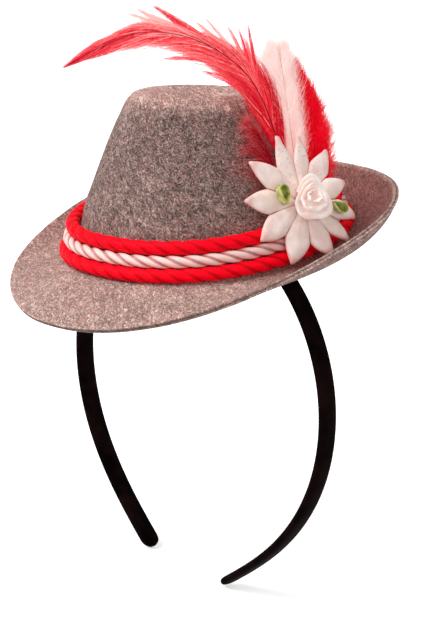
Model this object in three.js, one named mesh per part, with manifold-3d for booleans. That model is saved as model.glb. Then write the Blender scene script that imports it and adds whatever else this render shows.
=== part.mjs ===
// A mini tyrolean hat on a headband: a moulded felt hat with three twisted cords, a padded
// star flower with a ribbon rose, and feathers, carried by a satin-covered headband.
// Millimetres, +Z up. The wearer faces -Y and the wearer's left is +X. The origin is the
// underside of the headband at its top centre, where it sits on the head.
import * as THREE from 'three';
import { mergeVertices } from 'three/addons/utils/BufferGeometryUtils.js';
import Module from 'manifold-3d';

const wasm = await Module();
wasm.setup();

// Driving dimensions
const clearance = 0.3;

// The headband: its curvature over the arc from the top centre to a tip is
// top + middle u^2 + tip u^4, in 1/mm, with u from 0 to 1
const band = {
  width: 7.6, thickness: 3.2, halfArc: 194.5, steps: 24, sides: 8,
  curvature: { top: 0.01496, middle: 0.00587, tip: -0.02145 },
  // the round end: distance from the tip and the share of the full width there
  roundEnd: [{ from: 4.1, width: 1.0 }, { from: 2.0, width: 0.86 }, { from: 0.7, width: 0.58 }, { from: 0, width: 0.3 }],
};

// The hat, measured from the foot of the crown; tilted to the wearer's right and pitched forward
const hat = {
  centre: [-6.6, 4.7, -11.15], tilt: 7.9, pitch: 4.5, turn: 3.2,
  felt: 1.9, columns: 44, fillet: 1.8,
  crownHeight: 56.2, crownRise: 4,
  creaseDepth: 4.5,
};

// Crown sections from the foot to the rim, at a share of the crown's height
const crownSections = [
  { at: 0.00, front: 51.0, back: 51.4, side: 46.2, power: 2.2 },
  { at: 0.35, front: 44.4, back: 43.6, side: 39.0, power: 2.2 },
  { at: 0.62, front: 37.0, back: 36.4, side: 32.2, power: 2.15 },
  { at: 0.86, front: 30.0, back: 29.8, side: 25.6, power: 2.1 },
  { at: 0.95, front: 27.4, back: 27.2, side: 22.6, power: 2.05 },
  { at: 1.00, front: 24.2, back: 24.0, side: 19.0, power: 2.0 },
];
// Rings of the top inside the rim, as a share of the rim, with their share of the crease's depth
const topRings = [
  { scale: 0.72, sink: 0.35 },
  { scale: 0.40, sink: 0.85 },
  { scale: 0.12, sink: 1.00 },
];

// The brim's width, its mean slope in degrees and how far it curls up from root to edge, all as
// cosine waves of the angle from the front
const brim = {
  width: [23.85, 1.98, 1.32, 3.09],
  slope: [14.66, -34.36, -2.59, -0.75, 1.5],
  curl: [19.85, -16.72, -19.88, -4.27, 3.53],
  rows: 6,
};

const cord = { radius: 2.35, sides: 8, seatGap: 0.45 };
// the strip of the brim under the lowest cord, as shares of the brim's width
const cordSeat = [0.05, 0.2];
const cordRows = [
  { name: 'cord_lower_red', colour: 0xd01020 },
  { name: 'cord_middle_white', colour: 0xf2ded6 },
  { name: 'cord_upper_red', colour: 0xd01020 },
];

// The flower and the feathers lie against the wearer's left of the crown, over the cords. Their
// places are right, up and out in a frame that faces outward there
const ornament = { centre: [36.4, 7.3, 15.3], azimuth: 76.5, elevation: 27 };

const flower = { rootRadius: 3.2, notchRadius: 15, plump: 3.2, thinnest: 0.8, tipLift: 1.6 };
// Petals clockwise from the top: their angle in degrees, their reach, and a share of plumpness
const petals = [
  { angle: -15, reach: 25.6, plump: 0.65 },
  { angle: 6, reach: 24.0, plump: 0.65 },
  { angle: 37, reach: 22.2, plump: 0.65 },
  { angle: 74, reach: 19.4, plump: 0.9 },
  { angle: 111, reach: 22.2, plump: 1.0 },
  { angle: 135, reach: 23.0, plump: 1.0 },
  { angle: 158, reach: 22.5, plump: 1.0 },
  { angle: 202, reach: 24.0, plump: 1.0 },
  { angle: 238, reach: 23.6, plump: 1.0 },
  { angle: 276, reach: 24.1, plump: 1.0 },
  { angle: 310, reach: 25.4, plump: 1.0 },
];

// The ribbon rose is one ribbon wound outwards from its bud
const rose = {
  right: 1.0, up: -0.8, turns: 2.75, bud: 1.1, radius: 8.0, flare: 1.8,
  ribbon: 0.7, height: 6.0, floor: 1.2, steps: 40,
};

// The green loops: a ribbon folded back on itself, its middle, direction and size in the flower
const leafLoops = [
  { name: 'leaf_loop_front', right: -9.6, up: -0.4, turn: 94, length: 6.5, width: 3.6 },
  { name: 'leaf_loop_back', right: 9.6, up: -3.4, turn: -10, length: 5.5, width: 4.0 },
];
const loopRibbon = 0.7;
const loopSeat = flower.plump + 3 * clearance;

// The long hackle: its quill's path, with the vane's half width to its upper and lower side; it
// bows back toward the hat by "bow" at its tip
const hackle = {
  out: -0.9, bow: 9, quill: 0.6, vane: 0.9, steps: 16,
  stations: [
    { right: -2.0, up: 8.5, upper: 0.5, lower: 0.5 },
    { right: -5.6, up: 26.6, upper: 4.0, lower: 2.0 },
    { right: -8.1, up: 37.8, upper: 6.5, lower: 4.5 },
    { right: -12.7, up: 47.8, upper: 7.5, lower: 7.0 },
    { right: -18.0, up: 53.7, upper: 6.0, lower: 7.5 },
    { right: -25.4, up: 59.2, upper: 4.5, lower: 6.5 },
    { right: -34.0, up: 63.7, upper: 4.0, lower: 5.5 },
    { right: -42.4, up: 66.0, upper: 4.0, lower: 4.8 },
    { right: -51.0, up: 66.9, upper: 3.5, lower: 3.8 },
    { right: -58.7, up: 65.5, upper: 3.2, lower: 2.4 },
    { right: -66.8, up: 63.2, upper: 2.6, lower: 1.6 },
    { right: -76.2, up: 59.7, upper: 1.0, lower: 0.8 },
    { right: -80.1, up: 58.0, upper: 0.3, lower: 0.3 },
  ],
  // free locks: where each leaves the quill, as a share of its length, and its tip
  locks: [
    { from: 0.20, right: -8.3, up: 64.6, width: 2.2 },
    { from: 0.24, right: -12.0, up: 64.2, width: 2.0 },
    { from: 0.28, right: -15.7, up: 66.3, width: 2.0 },
    { from: 0.36, right: -25.5, up: 69.1, width: 1.6 },
    { from: 0.41, right: -29.2, up: 68.3, width: 1.6 },
    { from: 0.54, right: -45.2, up: 75.7, width: 1.8 },
    { from: 0.60, right: -52.5, up: 75.0, width: 1.6 },
    { from: 0.64, right: -56.0, up: 74.0, width: 1.6 },
    { from: 0.72, right: -59.8, up: 69.3, width: 1.4 },
    { from: 0.42, right: -46.7, up: 57.0, width: 1.6 },
    { from: 0.28, right: -31.6, up: 51.0, width: 2.0 },
  ],
};
// Down plumes: a stem, and soft locks that leave it at shares of its length
const downPlumes = [
  {
    name: 'plume_white', out: -2.5, colour: 0xf3d9d4, thick: 1.3,
    stem: [{ right: 1.8, up: 8.6 }, { right: 1.8, up: 19.6 }, { right: 2.5, up: 34.2 }, { right: 2.4, up: 49.0 }],
    locks: [
      { from: 0.15, right: 6.4, up: 26.0 }, { from: 0.30, right: 11.6, up: 33.5 }, { from: 0.42, right: 11.4, up: 40.0 },
      { from: 0.56, right: 11.0, up: 47.0 }, { from: 0.70, right: 9.8, up: 53.0 }, { from: 0.84, right: 7.4, up: 58.2 },
      { from: 0.88, right: 0.6, up: 60.0 }, { from: 0.76, right: -4.6, up: 57.6 }, { from: 0.62, right: -7.2, up: 52.0 },
      { from: 0.45, right: -7.2, up: 44.0 }, { from: 0.25, right: -4.6, up: 33.0 },
    ],
  },
  {
    name: 'plume_red_back', out: -4.3, colour: 0xd0142a, thick: 1.5,
    stem: [{ right: 7.6, up: 6.4 }, { right: 12.4, up: 18.9 }, { right: 13.4, up: 34.0 }, { right: 11.2, up: 48.0 }],
    locks: [
      { from: 0.02, right: 18.0, up: 9.0 }, { from: 0.08, right: 20.4, up: 14.4 }, { from: 0.18, right: 20.8, up: 20.4 },
      { from: 0.32, right: 19.4, up: 27.0 }, { from: 0.42, right: 19.8, up: 33.2 }, { from: 0.55, right: 18.6, up: 39.4 },
      { from: 0.68, right: 15.4, up: 44.4 }, { from: 0.82, right: 13.4, up: 51.0 }, { from: 0.90, right: 10.4, up: 56.4 },
      { from: 0.10, right: 8.6, up: 20.0 }, { from: 0.40, right: 8.0, up: 37.0 },
    ],
  },
  {
    name: 'plume_red_front', out: -1.2, colour: 0xc81226, thick: 1.3,
    stem: [{ right: -6.8, up: 5.5 }, { right: -8.7, up: 15.2 }, { right: -11.5, up: 24.6 }, { right: -14.5, up: 31.0 }],
    locks: [
      { from: 0.05, right: -20.5, up: 9.0 }, { from: 0.12, right: -27.0, up: 13.6 }, { from: 0.24, right: -32.0, up: 18.0 },
      { from: 0.38, right: -29.0, up: 23.6 }, { from: 0.55, right: -24.4, up: 28.4 }, { from: 0.75, right: -19.8, up: 33.6 },
      { from: 0.88, right: -13.0, up: 36.0 },
    ],
  },
];

const colours = {
  felt: 0x8d827c, satin: 0xf4e9e4, green: 0xa9b04a, hackle: 0xe0162b, band: 0x1d1816,
};

// Plain helpers
const degrees = THREE.MathUtils.degToRad;
const vector = (x, y, z) => new THREE.Vector3(x, y, z);
const mix = THREE.MathUtils.lerp;

function middleOf(points) {
  return points.reduce((sum, point) => sum.add(point), vector(0, 0, 0)).divideScalar(points.length);
}

function signedVolume(points, faces) {
  let volume = 0;
  for (let i = 0; i < faces.length; i += 3) {
    const [a, b, c] = [points[faces[i]], points[faces[i + 1]], points[faces[i + 2]]];
    volume += a.dot(vector(0, 0, 0).crossVectors(b, c)) / 6;
  }
  return volume;
}

// A closed body through rings of points: its ends close on their middles, or meet in a loop
function loft(rings, looped = false) {
  const sides = rings[0].length;
  const points = rings.flat();
  const faces = [];
  const spans = looped ? rings.length : rings.length - 1;
  for (let row = 0; row < spans; row++) {
    const next = (row + 1) % rings.length;
    for (let side = 0; side < sides; side++) {
      const turn = (side + 1) % sides;
      const corner = [row * sides + side, row * sides + turn, next * sides + turn, next * sides + side];
      faces.push(corner[0], corner[1], corner[2], corner[0], corner[2], corner[3]);
    }
  }
  if (!looped) {
    for (const row of [0, rings.length - 1]) {
      const middle = points.push(middleOf(rings[row])) - 1;
      for (let side = 0; side < sides; side++) {
        const edge = [row * sides + side, row * sides + (side + 1) % sides];
        faces.push(middle, ...(row === 0 ? edge.reverse() : edge));
      }
    }
  }
  if (signedVolume(points, faces) < 0) faces.reverse();
  const geometry = new THREE.BufferGeometry().setFromPoints(points);
  geometry.setIndex(faces);
  return geometry;
}

// An oval ring round a centre, across two unit directions
function ovalRing(centre, across, up, halfAcross, halfUp, sides) {
  return Array.from({ length: sides }, (unused, i) => {
    const angle = 2 * Math.PI * (i + 0.5) / sides;
    return centre.clone()
      .addScaledVector(across, halfAcross * Math.cos(angle))
      .addScaledVector(up, halfUp * Math.sin(angle));
  });
}

function toSolid(geometry) {
  const plain = geometry.clone();
  plain.deleteAttribute('normal');
  plain.deleteAttribute('uv');
  const merged = mergeVertices(plain, 1e-5);
  return new wasm.Manifold(new wasm.Mesh({
    numProp: 3,
    vertProperties: new Float32Array(merged.attributes.position.array),
    triVerts: new Uint32Array(merged.index.array),
  }));
}

function joinGeometries(geometries) {
  const whole = geometries.map(toSolid).reduce((sum, solid) => sum.add(solid));
  const mesh = whole.getMesh();
  const geometry = new THREE.BufferGeometry();
  geometry.setAttribute('position', new THREE.BufferAttribute(new Float32Array(mesh.vertProperties), 3));
  geometry.setIndex(Array.from(mesh.triVerts));
  return geometry;
}

function piece(name, geometry, colour, roughness) {
  const material = new THREE.MeshStandardMaterial({ color: colour, roughness, metalness: 0 });
  const mesh = new THREE.Mesh(geometry, material);
  mesh.name = name;
  return mesh;
}

// A group whose +Z faces a direction: azimuth from the wearer's front toward the left, elevation up
function facingGroup({ centre, azimuth, elevation }) {
  const [a, e] = [degrees(azimuth), degrees(elevation)];
  const out = vector(Math.sin(a) * Math.cos(e), -Math.cos(a) * Math.cos(e), Math.sin(e));
  const right = vector(Math.cos(a), Math.sin(a), 0);
  const group = new THREE.Group();
  group.setRotationFromMatrix(new THREE.Matrix4().makeBasis(right, out.clone().cross(right), out));
  group.position.set(...centre);
  return group;
}

// The headband's centreline on the wearer's left, from the top centre to the tip
function bandLine() {
  const plain = band.halfArc - band.roundEnd[0].from;
  const stops = Array.from({ length: band.steps }, (unused, i) => ({ arc: plain * i / band.steps, width: 1 }))
    .concat(band.roundEnd.map(({ from, width }) => ({ arc: band.halfArc - from, width })));
  let angle = 0;
  let point = vector(0, 0, band.thickness / 2);
  return stops.map(({ arc, width }, i) => {
    const step = i === 0 ? 0 : arc - stops[i - 1].arc;
    const u = (arc - step / 2) / band.halfArc;
    const bend = (band.curvature.top + band.curvature.middle * u ** 2 + band.curvature.tip * u ** 4) * step;
    point = point.clone()
      .add(vector(Math.cos(angle + bend / 2), 0, -Math.sin(angle + bend / 2)).multiplyScalar(step));
    angle += bend;
    return { point, angle, width };
  });
}

function headband() {
  const left = bandLine();
  const right = left.slice(1).reverse()
    .map(({ point, angle, width }) => ({ point: vector(-point.x, 0, point.z), angle: -angle, width }));
  const rings = [...right, ...left].map(({ point, angle, width }) => {
    const outward = vector(Math.sin(angle), 0, Math.cos(angle));
    // the section's flats lie on its half sizes, so its corners reach a little past them
    const corner = 1 / Math.cos(Math.PI / band.sides);
    const halfWidth = band.width / 2 * width * corner;
    const halfThick = band.thickness / 2 * Math.sqrt(width) * corner;
    return ovalRing(point, vector(0, 1, 0), outward, halfWidth, halfThick, band.sides);
  });
  return piece('headband', loft(rings), colours.band, 0.45);
}

// Crown ring at an angle from the front; front is -Y and a quarter turn is the wearer's left
function ringPoint(section, angle) {
  const [c, s] = [Math.cos(angle), Math.sin(angle)];
  const length = c > 0 ? section.front : section.back;
  const bulge = 2 / section.power;
  return vector(section.side * Math.sign(s) * Math.abs(s) ** bulge, -length * Math.sign(c) * Math.abs(c) ** bulge, 0);
}

// The crown is higher in front than behind
function crownHeight(angle) {
  return hat.crownHeight + hat.crownRise * Math.cos(angle);
}

function crownPoint(section, angle) {
  return ringPoint(section, angle).setZ(section.at * crownHeight(angle));
}

// Level outward normal of the crown's foot
function footNormal(angle) {
  const small = 0.01;
  const along = ringPoint(crownSections[0], angle + small).sub(ringPoint(crownSections[0], angle - small));
  return vector(-along.y, along.x, 0).normalize().negate();
}

function waves(shares, angle) {
  return shares.reduce((sum, share, wave) => sum + share * Math.cos(wave * angle), 0);
}

// The brim's slope at a share of its width: it curls up from its root to its edge
function brimSlope(angle, share) {
  return degrees(waves(brim.slope, angle) + waves(brim.curl, angle) * (2 * share - 1));
}

function brimPoint(angle, share) {
  const width = waves(brim.width, angle);
  const out = footNormal(angle);
  const point = ringPoint(crownSections[0], angle);
  const pieces = 8;
  for (let i = 0; i < pieces; i++) {
    const slope = brimSlope(angle, share * (i + 0.5) / pieces);
    point.addScaledVector(out, Math.cos(slope) * width * share / pieces);
    point.z += Math.sin(slope) * width * share / pieces;
  }
  return point;
}

// The felt's upper face at one angle, from the brim's edge up to the middle of the crown's top
function hatProfile(angle) {
  const foot = ringPoint(crownSections[0], angle);
  const wallTop = crownPoint(crownSections[1], angle);
  const onBrim = brimPoint(angle, hat.fillet / waves(brim.width, angle));
  const onWall = foot.clone().lerp(wallTop, hat.fillet / (wallTop.z));
  const inCorner = foot.clone().multiplyScalar(2).add(onBrim).add(onWall).divideScalar(4);
  const profile = [];
  for (let row = brim.rows; row > 0; row--) profile.push(brimPoint(angle, row / brim.rows));
  profile.push(onBrim, inCorner, onWall);
  for (const section of crownSections.slice(1)) profile.push(crownPoint(section, angle));
  const rim = crownPoint(crownSections.at(-1), angle);
  for (const { scale, sink } of topRings) {
    const point = vector(rim.x * scale, rim.y * scale, mix(hat.crownHeight, rim.z, scale));
    point.z -= hat.creaseDepth * sink * Math.exp(-((rim.x * scale) ** 2) / 90);
    profile.push(point);
  }
  return profile;
}

function feltHat() {
  const angles = Array.from({ length: hat.columns }, (unused, i) => 2 * Math.PI * i / hat.columns);
  const grid = angles.map(hatProfile);
  const rows = grid[0].length;
  const column = (i) => grid[(i + hat.columns) % hat.columns];
  const upper = [];
  const under = [];
  for (let row = 0; row < rows; row++) {
    upper.push(grid.map((profile) => profile[row]));
    under.push(grid.map((profile, i) => {
      const along = column(i + 1)[row].clone().sub(column(i - 1)[row]);
      const inward = profile[Math.min(row + 1, rows - 1)].clone().sub(profile[Math.max(row - 1, 0)]);
      const normal = inward.cross(along).normalize();
      return profile[row].clone().addScaledVector(normal, hat.felt);
    }));
  }
  return piece('felt_hat', loft([...under.reverse(), ...upper]), colours.felt, 0.95);
}

// Each cord lies in the corner of brim and crown, or on the cord below it, against the wall
function cordRing({ name, colour }, level) {
  const reach = cord.radius + cord.seatGap;
  const rings = Array.from({ length: hat.columns }, (unused, i) => {
    const angle = 2 * Math.PI * i / hat.columns;
    const foot = ringPoint(crownSections[0], angle);
    const out = footNormal(angle);
    const rise = crownPoint(crownSections[1], angle).sub(foot);
    const lean = Math.atan2(-rise.dot(out), rise.z);
    const slope = Math.max(...cordSeat.map((share) => brimSlope(angle, share)));
    const half = (Math.PI / 2 + lean - slope) / 2;
    const aim = (Math.PI / 2 + lean + slope) / 2;
    const step = level * (2 * cord.radius + clearance);
    const centre = foot
      .addScaledVector(out, reach * Math.cos(aim) / Math.sin(half) - step * Math.sin(lean))
      .setZ(reach * Math.sin(aim) / Math.sin(half) + step * Math.cos(lean));
    return ovalRing(centre, out, vector(0, 0, 1), cord.radius, cord.radius, cord.sides);
  });
  return piece(name, loft(rings, true), colour, 0.5);
}

function hatGroup() {
  const group = new THREE.Group();
  group.position.set(...hat.centre);
  group.rotation.set(degrees(hat.pitch), -degrees(hat.tilt), degrees(hat.turn));
  group.add(feltHat(), ...cordRows.map(cordRing));
  return group;
}

// Half widths of a petal at a radius: it meets its neighbours up to the notch, then narrows to its tip
function petalHalfWidth(radius, reach, halfAngle) {
  const beside = Math.min(radius, flower.notchRadius) * Math.tan(halfAngle) - clearance / 2;
  if (radius <= flower.notchRadius) return Math.max(beside, 0.4);
  const toTip = (radius - flower.notchRadius) / (reach - flower.notchRadius);
  return Math.max(beside * (1 - toTip ** 1.35), 0.35);
}

function petal({ angle, reach, plump }, i) {
  const before = petals.at(i - 1).angle - (i === 0 ? 360 : 0);
  const after = petals[(i + 1) % petals.length].angle + (i === petals.length - 1 ? 360 : 0);
  const halfLeft = degrees(Math.min(angle - before, 44) / 2);
  const halfRight = degrees(Math.min(after - angle, 44) / 2);
  const stations = 8;
  const rings = Array.from({ length: stations }, (unused, k) => {
    const share = k / (stations - 1);
    const radius = mix(flower.rootRadius, reach, share);
    const left = petalHalfWidth(radius, reach, halfLeft);
    const right = petalHalfWidth(radius, reach, halfRight);
    const swell = Math.sin(Math.PI * mix(0.18, 0.97, share)) ** 0.6;
    const thick = Math.max(flower.plump * plump * swell, flower.thinnest);
    const lift = flower.tipLift * share ** 2;
    return Array.from({ length: 8 }, (empty, side) => {
      const turn = 2 * Math.PI * side / 8;
      const across = Math.cos(turn) * (Math.cos(turn) > 0 ? right : left);
      return vector(across, radius, lift + thick * (0.5 + 0.5 * Math.sin(turn)));
    });
  });
  const name = `petal_${String(i + 1).padStart(2, '0')}`;
  const mesh = piece(name, loft(rings), colours.satin, 0.5);
  mesh.rotation.z = -degrees(angle);
  return mesh;
}

// The rose's ribbon: a wall wound in a spiral, highest at the bud, fused to a small round floor
function ribbonRose() {
  const rings = Array.from({ length: rose.steps + 1 }, (unused, i) => {
    const share = i / rose.steps;
    const turn = 2 * Math.PI * rose.turns * share;
    const radius = mix(rose.bud, rose.radius, share);
    const out = vector(Math.cos(turn), Math.sin(turn), 0);
    const top = mix(rose.height, rose.floor + 1.5, share ** 1.5);
    const foot = radius - rose.flare * share;
    return [
      out.clone().multiplyScalar(foot - rose.ribbon / 2).setZ(rose.floor / 2),
      out.clone().multiplyScalar(foot + rose.ribbon / 2).setZ(rose.floor / 2),
      out.clone().multiplyScalar(radius + rose.ribbon / 2).setZ(top),
      out.clone().multiplyScalar(radius - rose.ribbon / 2).setZ(top),
    ];
  });
  const foot = rose.radius - rose.flare;
  const base = new THREE.CylinderGeometry(foot, foot - 0.8, rose.floor, 20);
  base.rotateX(Math.PI / 2);
  base.translate(0, 0, rose.floor / 2);
  const mesh = piece('ribbon_rose', joinGeometries([loft(rings), base]), colours.satin, 0.45);
  mesh.position.set(rose.right, rose.up, flower.plump + clearance);
  return mesh;
}

// A ribbon folded into a leaf-shaped loop that stands on its edge
function leafLoop({ name, right, up, turn, length, width }) {
  const steps = 18;
  const rings = Array.from({ length: steps + 1 }, (unused, i) => {
    const share = mix(0.04, 0.96, i / steps);
    const angle = 2 * Math.PI * share;
    const x = length / 2 * (1 - Math.cos(angle));
    const y = 0.32 * length * Math.sin(angle) * Math.sin(angle / 2);
    const across = vector(0, 0, 1);
    const ahead = vector(length / 2 * Math.sin(angle), 0.3 * length * Math.cos(angle), 0).normalize();
    const side = ahead.clone().cross(across);
    const centre = vector(x, y, width / 2);
    return [[-1, -1], [1, -1], [1, 1], [-1, 1]].map(([a, b]) => centre.clone()
      .addScaledVector(side, a * loopRibbon / 2).addScaledVector(across, b * width / 2));
  });
  const mesh = piece(name, loft(rings), colours.green, 0.5);
  mesh.position.set(right, up, loopSeat);
  mesh.rotation.z = degrees(turn);
  return mesh;
}

// A flat tapered strip along a path: a diamond section, wide across the path, thin out of its plane
function blade(path, halfWidths, thickness, steps) {
  const out = vector(0, 0, 1);
  const rings = Array.from({ length: steps + 1 }, (unused, i) => {
    const share = i / steps;
    const point = path.getPoint(share);
    const side = out.clone().cross(path.getTangent(share)).normalize();
    const { upper, lower } = halfWidths(share);
    const half = thickness / 2 * Math.min(1, 0.35 + upper + lower);
    return [
      point.clone().addScaledVector(side, lower),
      point.clone().addScaledVector(out, half),
      point.clone().addScaledVector(side, -upper),
      point.clone().addScaledVector(out, -half),
    ];
  });
  return loft(rings);
}

// A lock leaves the stem along it, then bends out to its own tip
function lock(stem, { from, right, up, width = 2.6 }, place, thickness) {
  const root = stem.getPoint(from);
  const tip = place(right, up);
  const ahead = stem.getTangent(from).multiplyScalar(root.distanceTo(tip) * 0.45);
  const path = new THREE.QuadraticBezierCurve3(root, root.clone().add(ahead), tip);
  const halfWidths = (share) => {
    const half = Math.max(width / 2 * (0.7 + share) * (1 - share ** 2.5), 0.15);
    return { upper: half, lower: half };
  };
  return blade(path, halfWidths, thickness, 3);
}

function redHackle() {
  const reach = -hackle.stations.at(-1).right;
  const place = (right, up) => vector(right, up, hackle.out - hackle.bow * Math.min(right / reach, 0) ** 2);
  const path = new THREE.CatmullRomCurve3(hackle.stations.map(({ right, up }) => place(right, up)));
  const last = hackle.stations.length - 1;
  const halfWidths = (share) => {
    const i = Math.min(Math.floor(share * last), last - 1);
    const [before, after] = [hackle.stations[i], hackle.stations[i + 1]];
    const reached = share * last - i;
    return { upper: mix(before.upper, after.upper, reached), lower: mix(before.lower, after.lower, reached) };
  };
  const quillRings = Array.from({ length: hackle.steps + 1 }, (unused, i) => {
    const share = mix(0, 0.97, i / hackle.steps);
    const side = vector(0, 0, 1).cross(path.getTangent(share)).normalize();
    const radius = hackle.quill * (1 - 0.6 * share);
    return ovalRing(path.getPoint(share), side, vector(0, 0, 1), radius, radius, 6);
  });
  const shapes = [loft(quillRings), blade(path, halfWidths, hackle.vane, hackle.steps)];
  for (const row of hackle.locks) shapes.push(lock(path, row, place, hackle.vane * 0.8));
  return piece('feather_red_long', joinGeometries(shapes), colours.hackle, 0.7);
}

function downPlume({ name, out, colour, thick, stem, locks }) {
  const place = (right, up) => vector(right, up, out);
  const path = new THREE.CatmullRomCurve3(stem.map(({ right, up }) => place(right, up)));
  const halfWidths = (share) => {
    const half = mix(0.8, 3.2, Math.sin(Math.PI * Math.min(share * 1.1, 1)) ** 0.8);
    return { upper: half, lower: half };
  };
  const shapes = [blade(path, halfWidths, thick, 8)];
  for (const row of locks) shapes.push(lock(path, { ...row, width: 4.4 }, place, thick * 0.9));
  return piece(name, joinGeometries(shapes), colour, 0.9);
}

function ornamentGroup() {
  const group = facingGroup(ornament);
  group.add(...petals.map(petal), ribbonRose(), ...leafLoops.map(leafLoop));
  group.add(redHackle(), ...downPlumes.map(downPlume));
  return group;
}

export default new THREE.Group().add(headband(), hatGroup(), ornamentGroup());
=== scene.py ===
import math

import bpy
import numpy as np
from mathutils import Matrix, Vector, noise


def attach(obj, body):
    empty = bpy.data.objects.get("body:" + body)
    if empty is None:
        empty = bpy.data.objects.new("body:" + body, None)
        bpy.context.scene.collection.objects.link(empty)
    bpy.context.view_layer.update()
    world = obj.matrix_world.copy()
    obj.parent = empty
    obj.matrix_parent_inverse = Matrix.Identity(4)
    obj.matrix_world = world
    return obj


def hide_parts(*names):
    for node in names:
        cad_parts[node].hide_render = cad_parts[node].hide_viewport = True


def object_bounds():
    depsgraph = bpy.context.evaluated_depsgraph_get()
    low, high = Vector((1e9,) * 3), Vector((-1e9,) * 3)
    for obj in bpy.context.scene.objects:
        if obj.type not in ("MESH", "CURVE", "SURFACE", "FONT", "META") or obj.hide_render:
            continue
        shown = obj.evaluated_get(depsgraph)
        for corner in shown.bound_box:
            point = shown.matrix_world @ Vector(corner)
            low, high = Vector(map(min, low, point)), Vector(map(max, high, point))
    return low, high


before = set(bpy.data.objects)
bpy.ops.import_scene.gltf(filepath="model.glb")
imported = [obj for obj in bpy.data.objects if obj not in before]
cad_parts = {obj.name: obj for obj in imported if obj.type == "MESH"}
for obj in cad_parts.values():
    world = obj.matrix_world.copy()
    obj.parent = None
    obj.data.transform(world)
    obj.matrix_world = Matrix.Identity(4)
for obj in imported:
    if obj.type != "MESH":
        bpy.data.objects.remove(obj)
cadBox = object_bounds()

# A mini tyrolean hat on a headband: grey felt, twisted cords, a padded satin flower and feathers.
# All sizes in the dictionaries are millimetres and degrees; the scene itself is in metres.
mm = 0.001


# Camera, from the fit to the headband's two legs

camera = {"place": (0.9088, -0.8867, 0.4275), "azimuth": 45.52, "elevation": 20.08, "roll": 4.16,
          "lens": 211.03, "farthest": 20}


def addCamera():
    turn, rise, roll = (math.radians(camera[key]) for key in ("azimuth", "elevation", "roll"))
    back = Vector((math.sin(turn) * math.cos(rise), -math.cos(turn) * math.cos(rise), math.sin(rise)))
    level = Vector((math.cos(turn), math.sin(turn), 0))
    upright = back.cross(level)
    right = level * math.cos(roll) + upright * math.sin(roll)
    up = upright * math.cos(roll) - level * math.sin(roll)
    bpy.ops.object.camera_add()
    made = bpy.context.object
    made.data.lens = camera["lens"]
    made.data.clip_end = camera["farthest"]
    facing = Matrix((right, up, back)).transposed().to_4x4()
    made.matrix_world = Matrix.Translation(camera["place"]) @ facing
    bpy.context.scene.camera = made


addCamera()
print("camera placed")


# Shader wires: Python expressions that add Math nodes

class Wire:
    def __init__(self, tree, socket):
        self.tree, self.socket = tree, socket

    def node(self, kind, settings=None, inputs=None, output=0):
        made = self.tree.nodes.new(kind)
        for name, value in (settings or {}).items():
            setattr(made, name, value)
        for key, value in (inputs or {}).items():
            if isinstance(value, Wire):
                self.tree.links.new(value.socket, made.inputs[key])
            else:
                made.inputs[key].default_value = value
        return Wire(self.tree, made.outputs[output])

    def maths(self, operation, *values):
        return self.node("ShaderNodeMath", {"operation": operation}, dict(enumerate(values)))

    def __add__(self, other):
        return self.maths("ADD", self, other)

    def __sub__(self, other):
        return self.maths("SUBTRACT", self, other)

    def __rsub__(self, other):
        return self.maths("SUBTRACT", other, self)

    def __mul__(self, other):
        return self.maths("MULTIPLY", self, other)

    __radd__ = __add__
    __rmul__ = __mul__

    def sine(self):
        return self.maths("SINE", self)

    def size(self):
        return self.maths("ABSOLUTE", self)

    def most(self, other):
        return self.maths("MAXIMUM", self, other)

    def part(self, axis):  # one number of a vector
        return self.node("ShaderNodeSeparateXYZ", {}, {0: self}, axis)

    def between(self, low, high):  # 0 below low, 1 above high, smooth between
        inputs = {"Value": self, "From Min": low, "From Max": high}
        return self.node("ShaderNodeMapRange", {"interpolation_type": "SMOOTHSTEP"}, inputs)

    def blend(self, first, second):  # self is the share of the second colour
        return self.node("ShaderNodeMix", {"data_type": "RGBA"}, {0: self, 6: first, 7: second}, 2)

    def tinted(self, shade):  # a colour multiplied by another
        settings = {"data_type": "RGBA", "blend_type": "MULTIPLY"}
        return self.node("ShaderNodeMix", settings, {0: 1.0, 6: self, 7: shade}, 2)

    def mapped(self, **inputs):
        return self.node("ShaderNodeMapping", {"vector_type": "POINT"}, {"Vector": self, **inputs})

    def grain(self, size, detail=2.0, rough=0.55, stretch=None, turn=(0, 0, 0), twist=0.0):
        # noise whose patches are about this many millimetres across
        place = self
        if stretch:
            turned = self.mapped(Rotation=tuple(math.radians(angle) for angle in turn))
            place = turned.mapped(Scale=stretch)
        inputs = {"Vector": place, "Scale": 1000 / size, "Detail": detail, "Roughness": rough,
                  "Distortion": twist}
        return self.node("ShaderNodeTexNoise", {}, inputs)


def linear(*steps):  # a colour given as red, green and blue steps from 0 to 255, as seen on a screen
    shares = [step / 255 for step in steps]
    return tuple(v / 12.92 if v <= 0.04045 else ((v + 0.055) / 1.055) ** 2.4 for v in shares) + (1,)


def newMaterial(name, fixed):
    material = bpy.data.materials.new(name)
    material.use_nodes = True
    tree = material.node_tree
    shader = tree.nodes["Principled BSDF"]
    for key, value in fixed.items():
        shader.inputs[key].default_value = value
    coordinates = tree.nodes.new("ShaderNodeTexCoord")
    wires = {key: Wire(tree, coordinates.outputs[key]) for key in ("Object", "UV")}
    return material, shader, wires


def attribute(wire, name):
    return wire.node("ShaderNodeAttribute", {"attribute_name": name}, {}, 2)


def feed(shader, **values):
    names = {"colour": "Base Color", "roughness": "Roughness", "glow": "Emission Color"}
    for key, wire in values.items():
        wire.tree.links.new(wire.socket, shader.inputs[names[key]])


def bump(shader, height, distance, strength=1.0):
    inputs = {"Height": height, "Distance": distance * mm, "Strength": strength}
    normal = height.node("ShaderNodeBump", {}, inputs)
    height.tree.links.new(normal.socket, shader.inputs["Normal"])


# Mesh helpers

def deselectAll():
    bpy.ops.object.select_all(action="DESELECT")


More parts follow.
